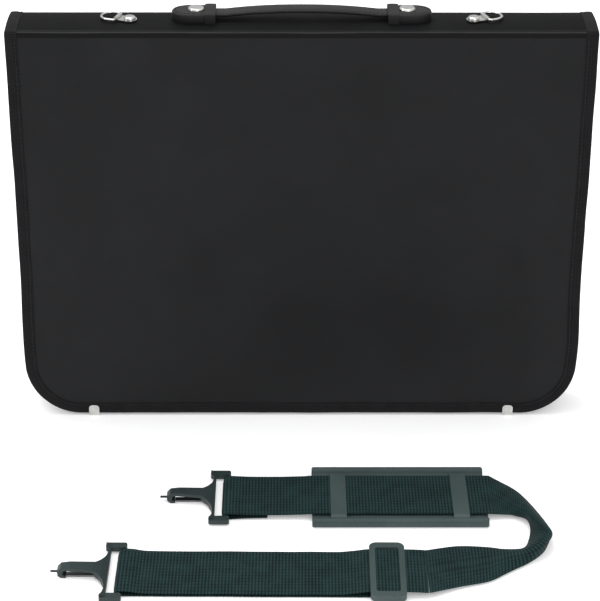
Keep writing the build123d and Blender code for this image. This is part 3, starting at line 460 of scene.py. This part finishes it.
def cover_surface(x, z):
    """How far a cover stands out of its flat plane: a slight crown and slow ripples."""
    edge = min(1.0, (TOP - z) / 40, (z - LOW) / 40, (HALF - abs(x)) / 40)
    edge = max(0.0, edge)
    return edge * (0.35 + wander(x, z, 0.5, 8.0) + wander(x * 3, z * 3, 0.1, 5.0))


# Section of the folded binding: depth in from the edge, distance from the case's middle plane.
BINDING = [
    (10.4, 23.9), (10.3, 24.5), (9.8, 24.85), (9.0, 24.75), (8.2, 24.5), (7.4, 24.75), (5.5, 25.0), (3.0, 25.0),
    (1.2, 24.8), (0.3, 24.2), (0.0, 23.2), (0.0, 21.4), (0.3, 20.2), (1.2, 19.6), (3.0, 19.4), (8.0, 19.4),
    (10.2, 19.6), (10.3, 20.1),
]
for side, cover, seed in ((-1, "front_cover", 0.0), (1, "back_cover", 40.0)):
    prefix = cover.split("_")[0]
    rows = []
    for t in np.linspace(0, 1, 90):
        z = TOP - (TOP - LOW - 1.4) * (1 - (1 - t) ** 1.5)
        drop = max(0.0, LOW + CORNER - z)
        half = HALF - 1.2 - (CORNER - (CORNER**2 - min(drop, CORNER) ** 2) ** 0.5)
        half += flare(z) * (1 - (min(drop, CORNER) / CORNER) ** 2)
        xs = np.linspace(-half, half, 120) * -side
        rows.append([(x, side * (DEPTH + cover_surface(x + seed, z)), z) for x in xs])
    panel = slab(f"{prefix}_cover_panel", rows, 1.1, PVC, "cover_pvc")
    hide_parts(f"{prefix}_cover_skin")
    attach(panel, cover)

    sections = []
    profile = BINDING if side > 0 else BINDING[::-1]
    for x, z, nx, nz in outline(0.0):
        sections.append([(x - nx * d, side * y, z - nz * d) for d, y in profile])
    tape = piece(f"{prefix}_binding_tape", *loft_parts(sections), TAPE, "edge_binding", 50)
    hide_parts(f"{prefix}_edge_binding")
    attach(tape, cover)

    seams = []
    row = outline(8.3, TOP - 2, STITCH_PITCH)
    for (x, z, nx, nz), (x2, z2, _, _) in zip(row, row[1:]):
        middle = ((x + x2) / 2, side * 24.72, (z + z2) / 2)
        seams.append(stitch(middle, (x2 - x, 0, z2 - z), (0, side, 0), 2.5, 0.3))
    seam = piece(f"{prefix}_binding_stitches", *gather(seams), THREAD, "edge_binding")
    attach(seam, cover)

    teeth = []
    run = outline(6.4, TOP - 4.5, ZIP_PITCH, loose=0.0)
    for (x, z, nx, nz), (x2, z2, _, _) in zip(run, run[1:]):
        if side > 0:  # half a pitch on, so that the two coils mesh
            x, z = (x + x2) / 2, (z + z2) / 2
        block = []
        for y, size in ((3.2, 0.75), (2.4, 0.8), (1.3, 0.8), (0.7, 0.55)):
            ring = [(-1.0, -1), (1.0, -1), (1.1, 1), (-1.1, 1)]
            block.append([(x + nx * a - nz * b * size, side * y, z + nz * a + nx * b * size)
                          for a, b in (ring if side > 0 else ring[::-1])])
        teeth.append(loft_parts(block))
    zip_teeth = piece(f"{prefix}_zip_coil", *gather(teeth), TEETH, "zip_teeth", 30)
    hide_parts(f"{prefix}_zip_teeth")
    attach(zip_teeth, cover)

    rows = []
    for a in np.linspace(0, 90, 25):
        row = []
        ridge = 0.35 * np.exp(-(((a - 45) / 9) ** 2))
        for x in np.linspace(-SPAN, SPAN, 200):
            turn = radians(a + 8 * wander(x, 30, 1.0, 2.0) * sin(radians(2 * a)))
            out, up = CREASE_R * cos(turn) ** SHARP + ridge, CREASE_R * sin(turn) ** SHARP + ridge
            row.append((x * -side, side * (SPINE_HALF + out), TOP + up))
        rows.append(row[::-1])
    crease = slab(f"{prefix}_crease", np.array(rows)[:, ::-1][::-1], 1.1, CREASE, "cover_pvc")
    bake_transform(crease)

    parts = []
    for end in (-1, 1):
        sections = []
        for a in np.linspace(0, 90, 13):
            c, s = cos(radians(a)) ** SHARP, sin(radians(a)) ** SHARP
            ring = [(end * (HALF - d), side * (SPINE_HALF + (y - SPINE_HALF) * c), TOP + (y - SPINE_HALF) * s)
                    for d, y in BINDING]
            sections.append(ring if side * end < 0 else ring[::-1])
        parts.append(loft_parts(sections, caps=False))
    corner_tape = piece(f"{prefix}_crease_binding", *gather(parts), TAPE, "edge_binding", 50)
    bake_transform(corner_tape)

# ---- spine ----------------------------------------------------------------------------------
SPINE_EDGE = 360.5
CROWN = 1.35


def spine_height(x, y):
    """The spine's surface: crowned, and pulled in round the clip rivets and the handle's tabs."""
    pull = sum(0.5 * np.exp(-((x - a) ** 2 + (y - b) ** 2) / w**2)
               for a, b, w in ((-140, 3.4, 9), (140, 3.4, 9), (-88, 5, 20), (88, 5, 20)))
    return SPINE_EDGE + (CROWN - pull + wander(x * 2, y * 2, 0.25, 6.0)) * (1 - (y / SPINE_HALF) ** 2)


ys = np.linspace(-SPINE_HALF, SPINE_HALF, 25)
rows = [[(x, y, spine_height(x, y)) for x in np.linspace(-SPAN, SPAN, 200)] for y in ys[::-1]]
spine_top = slab("spine_cover", rows, 1.1, SPINE, "cover_pvc")
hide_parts("spine_skin")
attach(spine_top, "spine")
parts = []
for end in (-1, 1):
    sections = []
    for y in ys:
        rise = CROWN * (1 - (y / SPINE_HALF) ** 2)
        ring = [(end * (HALF - d), y, SPINE_EDGE - 24 + h + rise * (h > 22)) for d, h in BINDING]
        sections.append(ring[::-1] if end > 0 else ring)
    parts.append(loft_parts(sections))
caps = piece("spine_end_tape", *gather(parts), TAPE, "edge_binding", 50)
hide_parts("spine_end_caps")
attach(caps, "spine")

# ---- handle ---------------------------------------------------------------------------------
HANDLE_Y = 5.0
GRIP_END = 50  # where the grip that lifts meets the ends held by the tabs
STRAP_END = 80


def strap_section(x, z, half=7.5):
    """Section of the padded strap at x, its underside at z: flat below, crowned, with two stitch grooves."""
    shape = [(-half, 1.0), (-half + 0.5, 0.2), (-half + 1.2, 0), (half - 1.2, 0), (half - 0.5, 0.2),
             (half, 1.0), (half, 2.0), (half - 0.4, 2.6), (half - 1.1, 2.75), (half - 1.8, 2.45),
             (half - 2.6, 2.9), (half * 0.3, 3.15), (-half * 0.3, 3.15), (-half + 2.6, 2.9),
             (-half + 1.8, 2.45), (-half + 1.1, 2.75), (-half + 0.4, 2.6), (-half, 2.0)]
    return [(x, HANDLE_Y + y, z + h) for y, h in shape]


def arch(x):
    """Height of the strap's underside: level in the tabs, rising to a long shallow arch."""
    reach = min(1.0, abs(x) / 61.7)
    return 365.1 + 3.5 * (1 - reach**2.2)


def strap_run(name, xs):
    """A length of the strap and its two rows of stitches."""
    made = piece(name, *loft_parts([strap_section(x, arch(x)) for x in xs]), LEATHER, "handle_leather", 60)
    marks = []
    for x in np.arange(min(xs) + 1.9, max(xs) - 1, 3.4):
        slope = arch(x + 0.5) - arch(x - 0.5)
        for edge in (-5.7, 5.7):
            marks.append(stitch((x, HANDLE_Y + edge, arch(x) + 2.62), (1, 0, slope), (0, 0, 1), 2.5, 0.3))
    sewn = piece(f"{name}_stitches", *gather(marks), THREAD, "handle_leather")
    return made, sewn


grip, grip_seam = strap_run("grip_middle", np.linspace(-GRIP_END, GRIP_END, 60))
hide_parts("handle_grip")
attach(grip, "handle")
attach(grip_seam, "handle")
for hand, hand_name in ((-1, "left"), (1, "right")):
    reach = np.linspace(GRIP_END, STRAP_END, 22) if hand > 0 else np.linspace(-STRAP_END, -GRIP_END, 22)
    made, sewn = strap_run(f"strap_end_{hand_name}", reach)
    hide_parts(f"handle_end_{hand_name}")
    for part in (made, sewn):
        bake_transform(part)

    middle, half_x, half_y = 89.25, 16.75, 12.5

    def tab_ring(inset, z):
        """Outline of the tab at height z: round at its outer end, square at the keeper."""
        ring = []
        for a in np.linspace(0, 2 * pi, 72, False):
            c, s = cos(a), sin(a)
            px = middle + (half_x - inset) * np.sign(c) * abs(c) ** (0.9 if c > 0 else 0.42)
            py = (half_y - inset) * np.sign(s) * abs(s) ** (0.9 if c > 0 else 0.5)
            ring.append((hand * px, HANDLE_Y + hand * py, z))
        return ring

    rings = [tab_ring(0.2, 361.0), tab_ring(0.0, 362.0), tab_ring(0.0, 367.4), tab_ring(0.3, 368.4),
             tab_ring(1.0, 369.0), tab_ring(2.0, 369.15), tab_ring(2.7, 368.85), tab_ring(3.4, 369.2),
             tab_ring(6.0, 369.45), tab_ring(9.5, 369.5)]
    tab = piece(f"tab_{hand_name}", *loft_parts(rings), LEATHER, "handle_leather", 60)
    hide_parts(f"handle_tab_{hand_name}")
    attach(tab, "spine")
    marks = []
    ring = np.array(tab_ring(2.7, 369.12))
    closed = np.concatenate([ring, ring[:1]])
    run = lengths(closed) / MM
    for s in np.arange(0, run[-1] - 2, 3.4):
        place = np.array([np.interp(s, run, closed[:, k]) for k in range(3)])
        ahead = np.array([np.interp(s + 0.5, run, closed[:, k]) for k in range(3)])
        marks.append(stitch(place, ahead - place, (0, 0, 1), 2.5, 0.32))
    seam = piece(f"tab_stitches_{hand_name}", *gather(marks), THREAD, "handle_leather")
    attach(seam, "spine")

    path = smooth_line([(-13.3, 360.9), (-13.35, 364), (-13.2, 368.2), (-12.3, 369.6), (-10, 370.15),
                        (0, 370.5), (10, 370.15), (12.3, 369.6), (13.2, 368.2), (13.35, 364),
                        (13.3, 360.9)], 5)
    columns = np.linspace(70, 79, 13) if hand > 0 else np.linspace(-79, -70, 13)
    rows = []
    for y, z in path:
        row = []
        for k, x in enumerate(columns):
            lip = 0.28 * sin(pi * k / 12) ** 0.5 - 0.18 * (k in (2, 10))
            out = np.array([y, max(0.0, z - 366)])
            out = out / (np.linalg.norm(out) + 1e-9)
            row.append((x, HANDLE_Y + y + out[0] * lip, z + out[1] * lip))
        rows.append(row)
    keeper = slab(f"keeper_{hand_name}", rows[::-1], 0.95, EDGE_PAINT, "handle_leather")
    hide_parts(f"handle_keeper_{hand_name}")
    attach(keeper, "spine")

# ---- shoulder strap -------------------------------------------------------------------------
WIDE = 56.0
THICK = 1.3
COLUMNS = 15


def webbing_rows(centres, across):
    """Rows across a flat webbing whose middle line is centres; across is a unit vector over its width."""
    return [[np.array(centre) + np.array(across) * WIDE * s for s in np.linspace(-0.5, 0.5, COLUMNS)]
            for centre in centres]


def webbing(name, rows, node):
    """A closed length of webbing with thin selvedges."""
    edge = np.array([0.55, 0.85] + [1.0] * (COLUMNS - 4) + [0.85, 0.55]) * THICK
    made = slab(name, rows, edge, WEBBING, "webbing")
    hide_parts(node)
    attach(made, "strap")
    return made


upper_y = -160.0  # middle line of the upper run
RUN_END = 25  # over this length the runs settle straight into the fold
line = smooth_line([(-28, 2.5), (-44, 2.2), (-56, 1.4), (-61.5, 0.95), (-64.4, 2.9), (-61.5, 5.2), (-56, 5.3),
                    (-44, 4.7), (-28, 4.5), (-14, 4.6), (2, 5.2), (10, 5.65), (40, 5.6), (80, 5.55), (128, 5.6),
                    (150, 5.7), (157, 5.5)], 6)
rows = webbing_rows([(x, upper_y + min(1.0, (157 - x) / RUN_END) * wander(x, 0, 0.5, 1), z) for x, z in line],
                    (0, -1, 0))
webbing("webbing_shoulder_run", rows, "webbing_upper")

# Inner edge, ridge and outer edge of the folded webbing, from the pad's end round to the hand run.
turn_rails = [
    ((157, -188, 5.5), (157, -154, 5.5), (157, -132, 5.6)),
    ((165, -187, 4.4), (166, -166, 6.4), (166, -139, 4.2)),
    ((175, -186.5, 3.2), (175, -180, 8), (177, -150, 3.8)),
    ((182.5, -188, 2.0), (183.5, -192, 11.5), (184.5, -162, 3.2)),
    ((185.5, -193, 1.5), (188.5, -207, 14), (191, -177, 3)),
    ((186, -201, 1.4), (193.5, -219, 15.5), (197, -194, 3)),
    ((185, -210, 1.4), (197, -229, 16), (200, -213, 3.2)),
    ((183, -219, 1.4), (193.5, -237, 15.5), (198, -222, 2.6)),
    ((180, -227.5, 1.4), (187, -243, 13), (192, -236, 1.8)),
    ((174, -232.5, 1.5), (177, -247, 9), (179, -250, 1.4)),
    ((162, -232.5, 1.5), (162, -247, 5.5), (161, -264, 1.4)),
    ((147, -229.5, 1.6), (147, -250, 3.5), (146, -275, 1.6)),
    ((124, -229.5, 2.4), (124, -256, 3.4), (123, -283, 2.4)),
    ((98, -238.8, 5.0), (98.2, -266, 5.1), (98.3, -294.6, 5.0)),
]
inner, ridge, outer = (smooth_line([rails[k] for rails in turn_rails], 7) for k in range(3))
PEAK = 0.58  # share of the width at which the ridge lies
rows = []
for a, c, b in zip(inner, ridge, outer):
    row = []
    for s in np.linspace(1, 0, COLUMNS):
        rise = sin(pi / 2 * min(s / PEAK, (1 - s) / (1 - PEAK)))
        row.append(a + (b - a) * s + (c - (a + (b - a) * PEAK)) * rise)
    rows.append(row)
webbing("webbing_fold", rows, "webbing_turn")

run_angle = radians(-0.5)
along = np.array((cos(run_angle), sin(run_angle), 0))
square = np.array((-sin(run_angle), cos(run_angle), 0))
origin = np.array((-40.0, -265.5, 0))
line = smooth_line([(138, 5.0), (131, 5.5), (121, 5.75), (107, 5.8), (93, 5.75), (81, 4.2), (67, 3.0),
                    (40, 2.95), (0, 2.9), (-50, 2.95), (-82, 3.1), (-94, 4.9), (-100, 5.3), (-103.8, 4.4),
                    (-104.9, 2.9)], 6)
centres = []
for u, z in line:
    settle = min(1.0, (138 - u) / RUN_END)
    waver = square * wander(u, 4, 0.6, 2) + np.array((0, 0, wander(u * 2, 9, 0.3, 5)))
    centres.append(origin + along * u + settle * waver + np.array((0, 0, z)))
rows = webbing_rows(centres, square)
webbing("webbing_hand_run", rows, "webbing_lower")
line = smooth_line([(-104.9, 2.9), (-103.8, 1.9), (-100, 1.35), (-82, 1.35), (0, 1.35), (60, 1.35), (90, 1.35),
                    (104.5, 1.4)], 6)
rows = webbing_rows([origin + along * u + square * wander(u, 4, 0.6, 2) + np.array((0, 0, z)) for u, z in line],
                    square)
webbing("webbing_return_run", rows, "webbing_return")

# ---- shoulder pad ---------------------------------------------------------------------------
pad_low, pad_high = (np.array(v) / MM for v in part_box("shoulder_pad"))
pad_mid = (pad_low[1] + pad_high[1]) / 2
half_wide = (pad_high[1] - pad_low[1]) / 2


def pad_section(x, shrink):
    """Section of the moulded pad: a ribbed floor between two rolled rails."""
    w, z = half_wide - shrink, 0.12 + shrink * 0.4
    half = [(0, 4.0), (6, 4.05), (12, 3.9), (18, 4.05), (24, 3.95), (w - 7.4, 4.0), (w - 6.2, 4.3),
            (w - 5.6, 5.6), (w - 5.0, 7.2), (w - 4.0, 7.85), (w - 2.6, 8.0), (w - 1.2, 7.6), (w - 0.3, 6.4),
            (w, 4.8), (w, 2.0), (w - 0.8, 0.7), (w - 2.2, z), (w - 12, z), (0, z)]
    ring = half + [(-y, h) for y, h in half[-2:0:-1]]
    return [(x, pad_mid + y, h - (shrink * 0.5 if h > 3 else 0)) for y, h in ring]


xs = np.concatenate([[pad_low[0], pad_low[0] + 0.5, pad_low[0] + 1.5],
                     np.linspace(pad_low[0] + 4, pad_high[0] - 4, 40),
                     [pad_high[0] - 1.5, pad_high[0] - 0.5, pad_high[0]]])
shrinks = [1.2, 0.45, 0.0] + [0.0] * 40 + [0.0, 0.45, 1.2]
pad = piece("pad_body", *loft_parts([pad_section(x, s) for x, s in zip(xs, shrinks)]), PAD, "pad_rubber", 50)
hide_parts("shoulder_pad")
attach(pad, "pad")
loop_mid = (pad_low[0] + pad_high[0]) / 2
LOOP_HALF = 6.5
parts = []
for offset in (-50.2, 50.2):
    path = smooth_line([(-33.4, 5.0), (-31.8, 6.5), (-29, 7.1), (-15, 7.3), (0, 7.35), (15, 7.3), (29, 7.1),
                        (31.8, 6.5), (33.4, 5.0)], 5)
    rows = []
    for y, z in path:
        row = []
        for u in np.linspace(-LOOP_HALF, LOOP_HALF, 11):
            crown = 0.12 * (1 - (u / LOOP_HALF) ** 2) - 0.15 * (abs(u) > 6)
            row.append((loop_mid + offset + u, pad_mid + y, z + crown))
        rows.append(row)
    parts.append(slab_parts(rows[::-1], 0.9))
loops = piece("pad_cross_loops", *gather(parts), PLASTIC, "pad_rubber", 50)
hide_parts("pad_loops")
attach(loops, "pad")

# ---- floor ----------------------------------------------------------------------------------
ground = Finish("floor", gloss=0.1)
ground.colour(ground.cloud(3, 2), (0.9, 0.9, 0.9), (0.94, 0.94, 0.94))
ground.rough(ground.cloud(20, 2), 0.85, 0.95)
ground.shader.inputs["Emission Color"].default_value = (1, 1, 1, 1)
ground.shader.inputs["Emission Strength"].default_value = 0.22
floor_data = bpy.data.meshes.new("floor")
floor_data.from_pydata([(-9, -9, 0), (9, -9, 0), (9, 9, 0), (-9, 9, 0)], [], [(0, 1, 2, 3)])
floor_data.materials.append(ground.made)
floor = bpy.data.objects.new("floor", floor_data)
bpy.context.collection.objects.link(floor)
